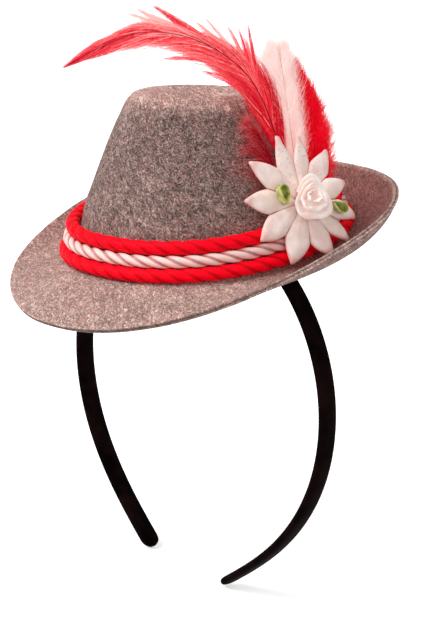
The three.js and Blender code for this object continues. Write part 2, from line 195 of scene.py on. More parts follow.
def choose(piece):
    deselectAll()
    piece.select_set(True)
    bpy.context.view_layer.objects.active = piece


def applyModifiers(piece):
    choose(piece)
    for modifier in list(piece.modifiers):
        bpy.ops.object.modifier_apply(modifier=modifier.name)


def named(name):
    piece = bpy.context.object
    piece.name = piece.data.name = name
    return piece


def closeSeams(piece):
    choose(piece)
    bpy.ops.object.mode_set(mode="EDIT")
    bpy.ops.mesh.select_all(action="SELECT")
    bpy.ops.mesh.remove_doubles(threshold=2e-6)
    bpy.ops.mesh.normals_make_consistent(inside=False)
    bpy.ops.object.mode_set(mode="OBJECT")


def bentGrid(name, across, along, place):
    # a grid bent into its shape: place turns two shares, across and along, into a point
    deselectAll()
    bpy.ops.mesh.primitive_grid_add(x_subdivisions=across, y_subdivisions=along, size=2)
    piece = named(name)
    for vertex in piece.data.vertices:
        vertex.co = place((vertex.co.x + 1) / 2, (vertex.co.y + 1) / 2)
    closeSeams(piece)
    return piece


def thicken(piece, thickness, offset, even=True):
    wall = piece.modifiers.new("Wall", "SOLIDIFY")
    wall.thickness, wall.offset, wall.use_even_offset = thickness * mm, offset, even
    applyModifiers(piece)


def smooth(piece, angle=50):
    choose(piece)
    bpy.ops.object.shade_smooth_by_angle(angle=math.radians(angle))


def finishPiece(piece, material, slotName, *nodes):
    piece.data.materials.clear()
    piece.data.materials.append(material)
    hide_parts(*nodes)
    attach(piece, "root")


def reachAlong(points):  # the length of the line up to each of its points
    return np.concatenate([[0], np.cumsum(np.linalg.norm(np.diff(points, axis=0), axis=1))])


def smoothLine(points, count):
    # evenly spaced points on a smooth curve through the given ones
    points = np.array(points, float)
    reach = reachAlong(points)
    first, last = 2 * points[0] - points[1], 2 * points[-1] - points[-2]
    knots = np.concatenate([[first], points, [last]])
    places = np.concatenate([[-reach[1]], reach, [2 * reach[-1] - reach[-2]]])
    wanted = np.linspace(0, reach[-1], count)
    span = np.clip(np.searchsorted(reach, wanted, side="right") - 1, 0, len(points) - 2)
    p0, p1, p2, p3 = (knots[span + k] for k in range(4))
    t0, t1, t2, t3 = (places[span + k][:, None] for k in range(4))
    step = t2 - t1
    share = (wanted[:, None] - t1) / step
    startSlope = step * ((p1 - p0) / (t1 - t0) - (p2 - p0) / (t2 - t0) + (p2 - p1) / step)
    endSlope = step * ((p2 - p1) / step - (p3 - p1) / (t3 - t1) + (p3 - p2) / (t3 - t2))
    cube, square = share ** 3, share ** 2
    return ((2 * cube - 3 * square + 1) * p1 + (cube - 2 * square + share) * startSlope
            + (3 * square - 2 * cube) * p2 + (cube - square) * endSlope)


# Felt

feltLook = {
    "dark": (62, 46, 42), "middle": (137, 106, 98), "light": (218, 187, 176), "rosy": (186, 116, 108),
    # painted light and shade: brightness of the lit brim and top, the shaded crown's side, extra light on
    # the top, the lit underside, the shaded cut edge and a painted highlight on the edge's corner
    "paintedLitBrimAndTop": 1.37, "paintedShadedWall": 0.9, "top": 0.33, "under": 1.25, "cut": 0.45, "corner": 0.22,
    # painted shade: the brim's hollow behind the flower is darker and rosier
    "inside": (0.68, 0.41, 0.4),  # rosy shade of the brim's hollow behind the flower
    # where those parts lie: shares of the profile from the brim's edge to the middle of the top
    "wallFrom": (0.17, 0.27), "wallTo": (0.715, 0.77), "topFrom": (0.74, 0.8), "cornerTo": (0.003, 0.007),
    "insideFrom": (0.004, 0.02), "insideTo": (0.15, 0.22),
    # shares of the way round, and of the way across the cut edge to the underside
    "insideStarts": (0.15, 0.25), "insideEnds": (0.5, 0.56),
    "shellTo": (0.15, 0.3), "cutFrom": (0.25, 0.4), "cutTo": (0.5, 0.75), "underFrom": (0.7, 0.95),
    "hairs": [(1.7, (20, 35, 0)), (2.1, (70, -25, 60)), (1.8, (-35, 10, 115)), (2.4, (50, 80, 20))]}


def feltMaterial():
    material, shader, wires = newMaterial("heather wool felt", {
        "Roughness": 0.95, "Specular IOR Level": 0.08, "Sheen Weight": 0.12, "Sheen Roughness": 0.7})
    look = feltLook
    place, around, along = wires["Object"], wires["UV"].part(0), wires["UV"].part(1)
    fleece = place.grain(1.6, detail=4, rough=0.7, twist=0.6)
    wool = [place.grain(size, detail=2.5, rough=0.6, stretch=(1, 0.28, 1), turn=turn, twist=1.5)
            for size, turn in look["hairs"]]
    hairs = [1 - (strand - 0.5).size().between(0.0, 0.055) for strand in wool]
    pale, deep = hairs[0].most(hairs[1]), hairs[2].most(hairs[3])
    patches = place.grain(14, detail=3, rough=0.5)
    wall = along.between(*look["wallFrom"]) * (1 - along.between(*look["wallTo"]))
    grainy = wall * 0.3 + 0.7
    # painted shade: the crown's side is a little darker
    tone = (fleece * 0.42 + pale * 0.33 - deep * 0.33 + patches * 0.2 - 0.31) * grainy + 0.56 - wall * 0.06
    dark, middle, light, rosy = (linear(*look[key]) for key in ("dark", "middle", "light", "rosy"))
    grey = tone.between(0.48, 0.88).blend(tone.between(0.18, 0.52).blend(dark, middle), light)
    heather = (place.grain(2.2, detail=3).between(0.52, 0.7) * 0.35).blend(grey, rosy)
    under = attribute(place, "underShare")
    # painted light and shade: the brim and top lighter, the crown's side darker, the top lighter still, the
    # underside lighter
    paintedLightAndShade = wall * (look["paintedShadedWall"] - look["paintedLitBrimAndTop"]) + look["paintedLitBrimAndTop"]
    paintedLightAndShade = paintedLightAndShade + along.between(*look["topFrom"]) * look["top"]
    paintedLightAndShade = paintedLightAndShade * (under.between(*look["underFrom"]) * (look["under"] - 1) + 1)
    # painted shade darkens the cut edge, and a painted highlight lightens a thin line along the brim's edge
    # on its top face
    cutLine = under.between(*look["cutFrom"]) * (1 - under.between(*look["cutTo"]))
    corner = (1 - along.between(*look["cornerTo"])) * (1 - under.between(*look["shellTo"]))
    paintedLightAndShade = paintedLightAndShade * (1 - cutLine * (1 - look["cut"])) + corner * look["corner"]
    # painted shade: darker and rosier in the brim's hollow behind the flower
    inside = around.between(*look["insideStarts"]) * (1 - around.between(*look["insideEnds"]))
    inside = inside * along.between(*look["insideFrom"]) * (1 - along.between(*look["insideTo"]))
    shade = (inside * (1 - under.between(0.0, 0.2))).blend((1, 1, 1, 1), (*look["inside"], 1))
    brightness = paintedLightAndShade.node("ShaderNodeCombineXYZ", {}, {0: paintedLightAndShade, 1: paintedLightAndShade, 2: paintedLightAndShade})
    feed(shader, colour=heather.tinted(brightness).tinted(shade))
    bump(shader, fleece * 0.5 + pale * 0.4 - deep * 0.4, 0.6, 0.75)
    return material


hat = {"centre": (-6.6, 4.7, -11.15), "tilt": 7.9, "pitch": 4.5, "turn": 3.2, "felt": 1.9, "fillet": 1.8,
       "height": 56.2, "rise": 4, "crease": 4.5, "creaseSpread": 90, "columns": 176, "rows": 76,
       # the brim's width, slope and curl as waves round the foot, and how wide and deep its dents are
       "brimWidth": (23.85, 1.98, 1.32, 3.09), "brimSlope": (14.66, -34.36, -2.59, -0.75, 1.5),
       "brimCurl": (19.85, -16.72, -19.88, -4.27, 3.53), "brimRows": 6, "brimSteps": 8,
       "dents": ((17, 0.352), (6, 0.11))}
crown = [  # share of the height, front, back, side, power of the oval
    (0.00, 51.0, 51.4, 46.2, 2.20), (0.35, 44.4, 43.6, 39.0, 2.20), (0.62, 37.0, 36.4, 32.2, 2.15),
    (0.86, 30.0, 29.8, 25.6, 2.10), (0.95, 27.4, 27.2, 22.6, 2.05), (1.00, 24.2, 24.0, 19.0, 2.00)]
crownTop = [(0.72, 0.35), (0.40, 0.85), (0.12, 1.00), (0, 1.00)]  # share of the rim, share of the crease

hatPlace = (Matrix.Translation(Vector(hat["centre"])) @ Matrix.Rotation(math.radians(hat["pitch"]), 4, "X")
            @ Matrix.Rotation(-math.radians(hat["tilt"]), 4, "Y")
            @ Matrix.Rotation(math.radians(hat["turn"]), 4, "Z"))


def waves(shares, angle):
    return sum(share * math.cos(wave * angle) for wave, share in enumerate(shares))


def ringPoint(section, angle):  # angle 0 is the wearer's front, a quarter turn the wearer's left
    at, front, back, side, power = section
    c, s = math.cos(angle), math.sin(angle)
    bulge = 2 / power
    x = side * math.copysign(abs(s) ** bulge, s)
    y = -(front if c > 0 else back) * math.copysign(abs(c) ** bulge, c)
    return np.array((x, y, at * (hat["height"] + hat["rise"] * math.cos(angle))))


def footNormal(angle):
    along = ringPoint(crown[0], angle + 0.01) - ringPoint(crown[0], angle - 0.01)
    out = np.array((along[1], -along[0], 0))
    return out / np.linalg.norm(out)


def brimSlope(angle, share):
    return math.radians(waves(hat["brimSlope"], angle) + waves(hat["brimCurl"], angle) * (2 * share - 1))


def brimPoint(angle, share):
    width, out, point = waves(hat["brimWidth"], angle), footNormal(angle), ringPoint(crown[0], angle)
    steps = hat["brimSteps"]
    for i in range(steps):  # short straight steps whose slope follows the brim's curl
        slope = brimSlope(angle, share * (i + 0.5) / steps)
        ahead = out * math.cos(slope) + np.array((0, 0, math.sin(slope)))
        point = point + ahead * width * share / steps
    return point


def hatProfile(angle):  # from the brim's edge to the middle of the crown's top
    foot, wall = ringPoint(crown[0], angle), ringPoint(crown[1], angle)
    onBrim = brimPoint(angle, hat["fillet"] / waves(hat["brimWidth"], angle))
    onWall = foot + (wall - foot) * hat["fillet"] / wall[2]
    points = [brimPoint(angle, row / hat["brimRows"]) for row in range(hat["brimRows"], 0, -1)]
    points += [onBrim, (2 * foot + onBrim + onWall) / 4, onWall]
    points += [ringPoint(section, angle) for section in crown[1:]]
    rim = points[-1]
    for scale, sink in crownTop:
        x, y = rim[0] * scale, rim[1] * scale
        z = hat["height"] + (rim[2] - hat["height"]) * scale
        points.append(np.array((x, y, z - hat["crease"] * sink * math.exp(-x * x / hat["creaseSpread"]))))
    return smoothLine(points, hat["rows"] + 1)


def hatFelt():
    profiles = [hatProfile(2 * math.pi * i / hat["columns"]) for i in range(hat["columns"])]
    profiles.append(profiles[0])

    def place(across, along):
        point = Vector(profiles[round(across * hat["columns"])][round(along * hat["rows"])])
        level = Vector((point.x, point.y, point.z * 0.3)).normalized()
        dent = sum(deep * noise.noise(point / wide) for wide, deep in hat["dents"])
        return (hatPlace @ (point + level * dent)) * mm

    piece = bentGrid("hatFelt", hat["columns"], hat["rows"], place)
    if max(piece.data.polygons, key=lambda face: face.center.z).normal.z < 0:
        piece.data.flip_normals()
    topCount = len(piece.data.vertices)
    thicken(piece, hat["felt"], -1)
    under = [float(index >= topCount) for index in range(len(piece.data.vertices))]
    piece.data.attributes.new("underShare", "FLOAT", "POINT").data.foreach_set("value", under)
    smooth(piece, 40)
    finishPiece(piece, feltMaterial(), "grey_felt", "felt_hat")


hatFelt()
print("felt shaped")


# Twisted cords in the corner of brim and crown

cords = {"radius": 2.35, "seat": 0.45, "gap": 0.3, "lay": 20.0, "strand": 0.58,
         "around": 42, "steps": 400, "samples": 1441,
         "sway": (0.02, 37),  # how much the thickness varies, and how often round the hat
         "rows": [("cordLowerRed", "cord_lower_red", "red_cord", 2.6),
                  ("cordMiddleWhite", "cord_middle_white", "white_cord", 2.32),
                  ("cordUpperRed", "cord_upper_red", "red_cord", 2.6)],
         # colour, painted shade for the grooves and thread, then how deep the grooves are, how fluffy, how
         # shiny and how bright the painted glow is
         "red_cord": ((255, 0, 28), (196, 0, 12), (255, 24, 46), 0.45, 0.06, 0.05, 0.1),
         "white_cord": ((245, 200, 193), (178, 98, 92), (255, 236, 231), 1.0, 0.015, 0.35, 0.02)}


def cordCentre(angle, level):
    foot, out = ringPoint(crown[0], angle), footNormal(angle)
    rise = ringPoint(crown[1], angle) - foot
    lean = math.atan2(-rise @ out, rise[2])
    slope = max(brimSlope(angle, 0.05), brimSlope(angle, 0.2))
    # halfway between brim and crown, far enough out of the corner, then up along the crown's wall
    half, aim = (math.pi / 2 + lean - slope) / 2, (math.pi / 2 + lean + slope) / 2
    reach, step = cords["radius"] + cords["seat"], level * (2 * cords["radius"] + cords["gap"])
    centre = foot + out * (reach * math.cos(aim) / math.sin(half) - step * math.sin(lean))
    centre[2] = reach * math.sin(aim) / math.sin(half) + step * math.cos(lean)
    return centre


def strandReach(turn, depth):  # outline of three round strands side by side, 1 at a strand's crest
    turn = (turn + math.pi / 3) % (2 * math.pi / 3) - math.pi / 3
    strand, off = cords["strand"], 1 - cords["strand"]
    crest = off * math.cos(turn) + math.sqrt(strand ** 2 - (off * math.sin(turn)) ** 2)
    return 1 - depth * (1 - crest)


def cordMaterial(name, colour, deep, pale, shine, glow, turns):
    material, shader, wires = newMaterial(name, {"Specular IOR Level": shine, "Emission Strength": glow})
    around, along = wires["UV"].part(0), wires["UV"].part(1)
    strand = around * 3 + along * (3 * turns)  # whole numbers on the crests of the strands
    flat = strand.node("ShaderNodeCombineXYZ", {}, {0: strand * 0.02, 1: along * 0.02 * turns})
    silk = flat.grain(1.1, detail=3, stretch=(1, 0.12, 1))
    threads = (strand * (2 * math.pi * 9) + along * 900 + silk * 5).sine() * 0.5 + 0.5
    # painted shade: the grooves between the strands take the darker groove colour
    groove = ((strand * (2 * math.pi) + math.pi / 2).sine() * 0.5 + 0.5).between(0.0, 0.5)
    shade = groove.blend(linear(*deep), linear(*colour))
    look = (threads * silk.between(0.35, 0.7) * 0.6).blend(shade, linear(*pale))
    # painted light: the silk glows a little in its own colour
    feed(shader, colour=look, glow=look, roughness=0.6 - silk * 0.2)
    bump(shader, threads * 0.6 + silk, 0.12, 0.6)
    return material


def twistedCord(level, name, node, slotName, radius):
    angles = np.linspace(0, 2 * math.pi, cords["samples"])
    reach = reachAlong(np.array([cordCentre(angle, level) for angle in angles]))
    turns = round(reach[-1] / cords["lay"] * 3) / 3
    colour, deep, pale, grooves, fluff, shine, glow = cords[slotName]
    sway, often = cords["sway"]

    def place(across, along):
        angle = np.interp((along % 1) * reach[-1], reach, angles)
        centre, out = cordCentre(angle, level), footNormal(angle)
        turn = 2 * math.pi * (across % 1)
        size = radius * strandReach(turn + 2 * math.pi * turns * along, grooves)
        size *= 1 + sway * math.sin(often * angle)
        point = centre + out * size * math.cos(turn) + np.array((0, 0, size * math.sin(turn)))
        tuft = 1 + fluff * noise.noise(Vector(point) / 0.9)
        point = centre + (point - centre) * tuft
        return (hatPlace @ Vector(point)) * mm

    piece = bentGrid(name, cords["around"], cords["steps"], place)
    smooth(piece, 60)
    silk = cordMaterial(f"{slotName} silk", colour, deep, pale, shine, glow, turns)
    finishPiece(piece, silk, slotName, node)


for level, row in enumerate(cords["rows"]):
    twistedCord(level, *row)
print("cords twisted")


# The flower's own frame: right, up and out, facing outward at the wearer's left

ornament = {"centre": (36.4, 7.3, 15.3), "azimuth": 76.5, "elevation": 27}


def ornamentPlace():
    turn, rise = math.radians(ornament["azimuth"]), math.radians(ornament["elevation"])
    out = Vector((math.sin(turn) * math.cos(rise), -math.cos(turn) * math.cos(rise), math.sin(rise)))
    right = Vector((math.cos(turn), math.sin(turn), 0))
    turned = Matrix((right, out.cross(right), out)).transposed().to_4x4()
    return Matrix.Translation(Vector(ornament["centre"])) @ turned


flowerPlace = ornamentPlace()

flower = {"root": 2.2, "notch": (14.2, 0.62), "gap": 0.05, "plump": 3.2, "lift": 1.6, "valley": 0.2,
          "segments": 44, "rings": 34, "fullFrom": 0.8, "widest": 44,
          "fullTip": (1.65, 0.85), "flatTip": (1.4, 0.95),  # higher first and lower second number: blunter
          "pinch": (0.16, 2.6), "dents": (0.5, 4.2),  # how deep, and how close or wide
          "flecks": 0.15, "manyFlecks": 0.6,
          # clockwise from the top: angle, reach, plumpness
          "petals": [(-15, 25.6, 0.65), (6, 24.0, 0.65), (37, 22.2, 0.65), (74, 19.4, 0.9),
                     (111, 22.2, 1.0), (135, 23.0, 1.0), (158, 22.5, 1.0), (202, 24.0, 1.0),
                     (238, 23.6, 1.0), (276, 24.1, 1.0), (310, 25.4, 1.0)]}


def satinMaterial(name, flecks):
    material, shader, wires = newMaterial(name, {"Specular IOR Level": 0.45, "Sheen Weight": 0.1,
                                                 "Sheen Roughness": 0.4, "Subsurface Weight": 0.15,
                                                 "Subsurface Scale": 0.002})
    place = wires["Object"]
    rim = attribute(place, "petalRim")
    weave, cloud = place.grain(0.35, detail=2), place.grain(6, detail=2)
    speck = place.grain(0.8, detail=3, rough=0.7).between(0.54, 0.68) * flecks
    base = cloud.between(0.3, 0.7).blend(linear(255, 236, 228), linear(244, 214, 206))
    # the rims and tips are rosier and darker: partly the satin's own tint, partly painted shade
    rosy = (rim.between(0.2, 1.0) * 0.7).blend(base, linear(228, 168, 160))
    feed(shader, colour=speck.blend(rosy, linear(222, 148, 146)), roughness=0.34 + weave * 0.2)
    bump(shader, weave + cloud * 2, 0.08, 0.6)
    return material


satin = satinMaterial("white satin", flower["flecks"])
rosySatin = satinMaterial("white satin with rosy flecks", flower["manyFlecks"])


def petalHalfWidth(radius, reach, notch, halfAngle, tip):
    beside = min(radius, notch) * math.tan(halfAngle) - flower["gap"]
    if radius <= notch:
        return max(beside, 0.4)
    toTip = (radius - notch) / (reach - notch)
    return max(beside * (1 - toTip ** tip[0]) ** tip[1], 0)


def ease(value, low, high):
    share = max(0, min(1, (value - low) / (high - low)))
    return share * share * (3 - 2 * share)


def petalSection(around, free):
    # in the pad a low cushion between short walls, past the notch a round pillow
    c, s = math.cos(around), math.sin(around)
    flat, wall = 0.866, 0.5  # where the cushion's wall meets its top, a twelfth of the way round
    across, rim = math.copysign(min(1, abs(c) / flat), c), 1 - flower["valley"]
    high = rim * s / wall if s < wall else rim + (1 - rim) * (1 - across * across)
    high = max(high, -0.06)
    pillow = math.copysign(abs(c) ** 0.85, c), 0.5 + 0.5 * math.copysign(abs(s) ** 0.9, s)
    return across + (pillow[0] - across) * free, high + (pillow[1] - high) * free


def paddedPetal(index):
    petals = flower["petals"]
    angle, reach, plump = petals[index]
    before = petals[index - 1][0] - (360 if index == 0 else 0)
    after = petals[(index + 1) % len(petals)][0] + (360 if index == len(petals) - 1 else 0)
    widths = (min(step, flower["widest"]) for step in (angle - before, after - angle))
    halfLeft, halfRight = (math.radians(width / 2) for width in widths)
    full = plump > flower["fullFrom"]
    tip = flower["fullTip"] if full else flower["flatTip"]
    pinch, close = flower["pinch"]
    deep, wide = flower["dents"]
    notch = min(flower["notch"][0], flower["notch"][1] * reach)
    deselectAll()
    bpy.ops.mesh.primitive_uv_sphere_add(segments=flower["segments"], ring_count=flower["rings"], radius=1)
    piece = named(f"petalPadded{index + 1:02d}")
    turned = Matrix.Rotation(-math.radians(angle), 4, "Z")
    rims = []
    for vertex in piece.data.vertices:
        around = math.atan2(vertex.co.y, vertex.co.x)
        share = math.acos(max(-1, min(1, -vertex.co.z))) / math.pi
        radius = flower["root"] + (reach - flower["root"]) * share
        # root and tip close in a round end, and until then the tip keeps some width
        ends = math.sqrt(max(0, 1 - max(0, (share - 0.9) / 0.1) ** 2)) * math.sqrt(min(1, share / 0.06))
        side = halfRight if math.cos(around) > 0 else halfLeft
        half = max(petalHalfWidth(radius, reach, notch, side, tip), 1.1 if share > 0.6 else 0) * ends
        across, high = petalSection(around, ease(radius, notch - 4.5, notch + 1))
        thick = flower["plump"] * plump * math.sin(math.pi * (0.2 + 0.72 * share)) ** 0.6 * ends
        # small pinched folds towards the root and soft dents all over the top
        fold = pinch * math.sin(across * half * close + index) * max(0, 1 - share * 1.9) * max(0, high)
        dent = noise.noise(Vector((across * half, radius, index * 9)) / wide) * deep * plump * max(0, high)
        up = flower["lift"] * share ** 2 + thick * high + fold + dent
        vertex.co = (flowerPlace @ (turned @ Vector((across * half, radius, up)))) * mm
        # rim share: rosier, darker rims and tips, partly the satin's own tint, partly painted shade
        rims.append(min(1, abs(across) ** 4 * 0.7 * ease(share, 0.2, 0.6) + ease(share, 0.75, 1)))
    piece.data.attributes.new("petalRim", "FLOAT", "POINT").data.foreach_set("value", rims)
    closeSeams(piece)
    smooth(piece, 80)
    finishPiece(piece, satin if full else rosySatin, "white_satin", f"petal_{index + 1:02d}")


for index in range(len(flower["petals"])):
    paddedPetal(index)
print("petals padded")


# The ribbon rose in the flower's middle

rose = {"right": 1.2, "up": -0.9, "turns": 3.4, "bud": 0.5, "radius": 8.1, "flare": 2.7, "ribbon": 0.3,
        "high": 6.2, "low": 2.8, "folds": 3, "drift": (-0.5, 2.6), "steps": 320, "rows": 18,
        # how far the folds bend the ribbon at the bud and outside, in and out and up and down
        "bend": (0.02, 0.15), "oval": 0.05, "wave": 0.14, "roll": 2.4, "ripple": 0.6, "narrow": 0.97}


def ribbonSatin():
    material, shader, wires = newMaterial("glossy ribbon satin", {
        "Specular IOR Level": 0.6, "Sheen Weight": 0.2, "Subsurface Weight": 0.3,
        "Subsurface Scale": 0.0015, "Subsurface Radius": (1.0, 0.85, 0.75), "Emission Strength": 0.1})
    ribs = (wires["UV"].part(1) * 1100).sine() * 0.5 + 0.5
    cloud = wires["Object"].grain(2.4, detail=3, stretch=(1, 0.5, 1), turn=(30, 20, 40))
    look = cloud.between(0.35, 0.65).blend(linear(255, 242, 236), linear(250, 218, 209))
    # painted light: the ribbon glows a little in its own colour
    feed(shader, colour=look, glow=look, roughness=0.24 + cloud * 0.15)
    bump(shader, ribs * 0.4 + cloud * 2, 0.06, 0.5)
    return material


def ribbonRose():
    def place(across, along):
        # the ribbon winds outward in wavy turns that get lower
        turn = 2 * math.pi * rose["turns"] * along
        atBud, outside = rose["bend"]
        bend = 1 + (atBud + outside * along) * math.cos(rose["folds"] * turn + 1.8)
        bend += rose["oval"] * math.sin(2 * turn)
        radius = (rose["bud"] + (rose["radius"] - rose["bud"]) * along ** 0.85) * bend
        high = rose["high"] + (rose["low"] - rose["high"]) * along ** 0.9
        high *= 1 + rose["wave"] * math.sin(rose["folds"] * turn + 2.6)
        # its lower edge leans inward, and its upper edge rolls outward as the rose opens
        opened = min(1, 1.6 * along)
        flare = rose["flare"] * min(1, 0.1 + 1.6 * along) * (1 - across) ** 1.2
        spread = max(radius - flare, 0.4 * radius)
        roll = rose["roll"] * opened * max(0, across - 0.6) ** 1.3
        up = high * math.sin(across * math.pi / 2 * 1.2)
        spot = Vector((math.cos(turn) * 2.4, math.sin(turn) * 2.4, across * 1.4 + along * 9))
        reach = spread + roll + rose["ripple"] * noise.noise(spot)
        right, above = (share * (1 - along) for share in rose["drift"])
        point = Vector((rose["right"] + right + reach * math.cos(turn) * rose["narrow"],
                        rose["up"] + above + reach * math.sin(turn), flower["plump"] + 0.3 + up))
        return (flowerPlace @ point) * mm

    ribbon = bentGrid("ribbonRose", rose["rows"], rose["steps"], place)
    thicken(ribbon, rose["ribbon"], 0, even=False)
    deselectAll()
    inner = rose["radius"] - rose["flare"] - 0.4
    bpy.ops.mesh.primitive_uv_sphere_add(segments=32, ring_count=12, radius=inner)
    base = named("roseBase")
    middle = Vector((rose["right"], rose["up"], flower["plump"] + 1.2))
    for vertex in base.data.vertices:
        flat = Vector((vertex.co.x, vertex.co.y, vertex.co.z * 0.2))
        vertex.co = (flowerPlace @ (middle + flat)) * mm
    choose(ribbon)
    base.select_set(True)
    bpy.ops.object.join()
    smooth(ribbon, 60)
    finishPiece(ribbon, ribbonSatin(), "white_satin", "ribbon_rose")


ribbonRose()
print("rose wound")


# Green ribbon loops beside the rose

loops = {"ribbon": 0.35, "seat": 4.1, "opening": 0.08, "bulge": 0.27, "flare": 0.5, "across": 8, "steps": 40,
         "rows": [  # piece, node, right, up, turn, length, width
             ("loopFront", "leaf_loop_front", -9.6, -0.9, 96, 7.2, 4.0),
             ("loopBack", "leaf_loop_back", 9.0, -1.9, -40, 6.2, 4.6)]}


def greenRibbon():
    material, shader, wires = newMaterial("olive ribbon", {"Roughness": 0.4, "Specular IOR Level": 0.5,
                                                           "Sheen Weight": 0.2})
    place = wires["Object"]
    cloud = place.grain(2.2, detail=3)
    weave = place.grain(0.3, detail=1)
    feed(shader, colour=cloud.between(0.35, 0.65).blend(linear(132, 140, 40), linear(206, 214, 108)))
    bump(shader, weave + cloud * 2, 0.08, 0.5)
    return material


olive = greenRibbon()


def ribbonLoop(name, node, right, up, turn, length, width):
    turned = Matrix.Rotation(math.radians(turn), 4, "Z")

    def place(across, along):
        angle = 2 * math.pi * (loops["opening"] / 2 + (1 - loops["opening"]) * along)
        x = length / 2 * (1 - math.cos(angle))
        flare = 1 + loops["flare"] * (across - 0.5)
        y = loops["bulge"] * length * math.sin(angle) * math.sin(angle / 2) * flare
        z = width * across + loops["flare"] * math.sin(angle) * (across - 0.5)
        point = turned @ Vector((x, y, z)) + Vector((right, up, loops["seat"]))
        return (flowerPlace @ point) * mm

    piece = bentGrid(name, loops["across"], loops["steps"], place)
    thicken(piece, loops["ribbon"], 0)
    smooth(piece, 50)
    finishPiece(piece, olive, "green_ribbon", node)


for row in loops["rows"]:
    ribbonLoop(*row)
print("loops folded")


# Feathers: fine barbs swept along a quill, each a thin three-sided thread

def threadMesh(name, points, radii, tones):
    # points: barbs by stations by xyz in the flower's frame; radii and tones: barbs by stations
    count, stations = radii.shape
    ahead = np.gradient(points, axis=1)
    ahead /= np.linalg.norm(ahead, axis=2, keepdims=True) + 1e-12
    # crossed with nearly straight out, a direction that no barb takes
    side = np.cross(ahead, np.array((0.03, 0.02, 1.0)))
    side /= np.linalg.norm(side, axis=2, keepdims=True) + 1e-12
    lift = np.cross(side, ahead)
    turns = 2 * math.pi * np.arange(3) / 3
    aside = side[:, :, None] * np.cos(turns)[:, None] + lift[:, :, None] * np.sin(turns)[:, None]
    ring = points[:, :, None] + radii[:, :, None, None] * aside
    first = np.arange(count)[:, None, None] * stations * 3 + np.arange(stations - 1)[:, None] * 3
    corner, nextCorner = np.arange(3), (np.arange(3) + 1) % 3
    near = np.stack([first + corner, first + nextCorner], axis=-1)
    quads = np.concatenate([near, near[..., ::-1] + 3], axis=-1)
    start = np.arange(count) * stations * 3
    end = start + (stations - 1) * 3
    caps = [np.stack([start + 2, start + 1, start], 1), np.stack([end, end + 1, end + 2], 1)]
    place = np.array(flowerPlace)
    world = (ring.reshape(-1, 3) @ place[:3, :3].T + place[:3, 3]) * mm
    mesh = bpy.data.meshes.new(name)
    mesh.from_pydata(world.tolist(), [], quads.reshape(-1, 4).tolist() + np.concatenate(caps).tolist())
    values = np.repeat(np.clip(tones, 0, 1).reshape(-1), 3).astype(np.float32)
    mesh.attributes.new("barbTone", "FLOAT", "POINT").data.foreach_set("value", values)
    piece = bpy.data.objects.new(name, mesh)
    bpy.context.scene.collection.objects.link(piece)
    closeSeams(piece)
    smooth(piece, 75)
    return piece


def quillFrame(path, reach, share):
    # a point on the quill and its direction there; past the end it runs straight on
    length = reach[-1]
    wanted = np.asarray(share) * length
    inside = np.clip(wanted, 0, length)
    point = np.stack([np.interp(inside, reach, path[:, k]) for k in range(3)], axis=-1)
    slopes = np.gradient(path, reach, axis=0)
    ahead = np.stack([np.interp(inside, reach, slopes[:, k]) for k in range(3)], axis=-1)
    ahead /= np.linalg.norm(ahead, axis=-1, keepdims=True)
    return point + ahead * (wanted - inside)[..., None], ahead


def taper(share, power=1.5):  # a thread's thickness along it, 1 at the root
    return 1 - 0.75 * share ** power


def sweptBarbs(path, rows, style, seed):
    # rows: share of the quill, the vane's reach to the left and right there, a barb's length, its tone
    chance = np.random.default_rng(seed)
    reach = reachAlong(path)
    at, toLeft, toRight, lengths, toneRow = np.array(rows, float).T
    count, share = style["count"], np.linspace(0, 1, style["stations"])
    root = style["last"] * chance.uniform(0, 1, count)
    left = chance.uniform(0, 1, count) < style["left"]
    long = np.interp(root, at, lengths) * chance.uniform(style["short"], 1, count)
    long = np.minimum(long, (style["end"] - root) * reach[-1])
    advance = root[:, None] + long[:, None] * share / reach[-1]
    centre, ahead = quillFrame(path, reach, advance)
    side = np.cross(ahead, np.array((0, 0, 1.0)))
    side /= np.linalg.norm(side, axis=-1, keepdims=True)
    wide = np.where(left[:, None], -np.interp(advance, at, toLeft), np.interp(advance, at, toRight))
    # barbs of one lock lie at the same share of the vane's width and have one tone
    lock = np.floor(root * style["locks"]).astype(int) * 2 + left
    locks = lock.max() + 1
    lockFill, lockTone = chance.uniform(0, 1, locks)[lock], chance.normal(0, 1, locks)[lock]
    ownFill = chance.uniform(0, 1, count) ** style["outward"]
    least, most = style["fill"]
    fill = least + (most - least) * (style["cling"] * lockFill + (1 - style["cling"]) * ownFill)
    spread = wide * fill[:, None] * (1 - (1 - share) ** style["sweep"])
    deep = chance.normal(0, style["depth"], count)[:, None] * share ** 0.8 - style["cup"] * spread ** 2
    points = centre + side * spread[..., None] + np.array((0, 0, 1.0)) * deep[..., None]
    # barbs curl and sway more where the vane is wide
    curl, sway = chance.normal(0, style["curl"], (2, count, 2))
    bent = curl[:, None] * (share ** 2)[:, None] + sway[:, None] * np.sin(share * math.pi)[:, None] * 0.5
    points[:, :, :2] += bent * np.clip(np.abs(wide) / 4, 0.08, 1)[..., None]
    radii = style["thick"] * chance.uniform(0.75, 1.2, count)[:, None] * taper(share)
    tones = np.interp(root, at, toneRow) + 0.5 * style["streaks"] * (lockTone + chance.normal(0, 1, count))
    edge = style["edge"] * (fill[:, None] - 0.65) * share
    return points, radii, tones[:, None] + edge + style["paleTips"] * share ** 2


def quillThread(path, thick, stations):
    pick = np.linspace(0, len(path) - 1, stations).round().astype(int)
    radii = (thick * taper(np.linspace(0, 1, stations), 1))[None]
    return path[pick][None], radii, radii * 0


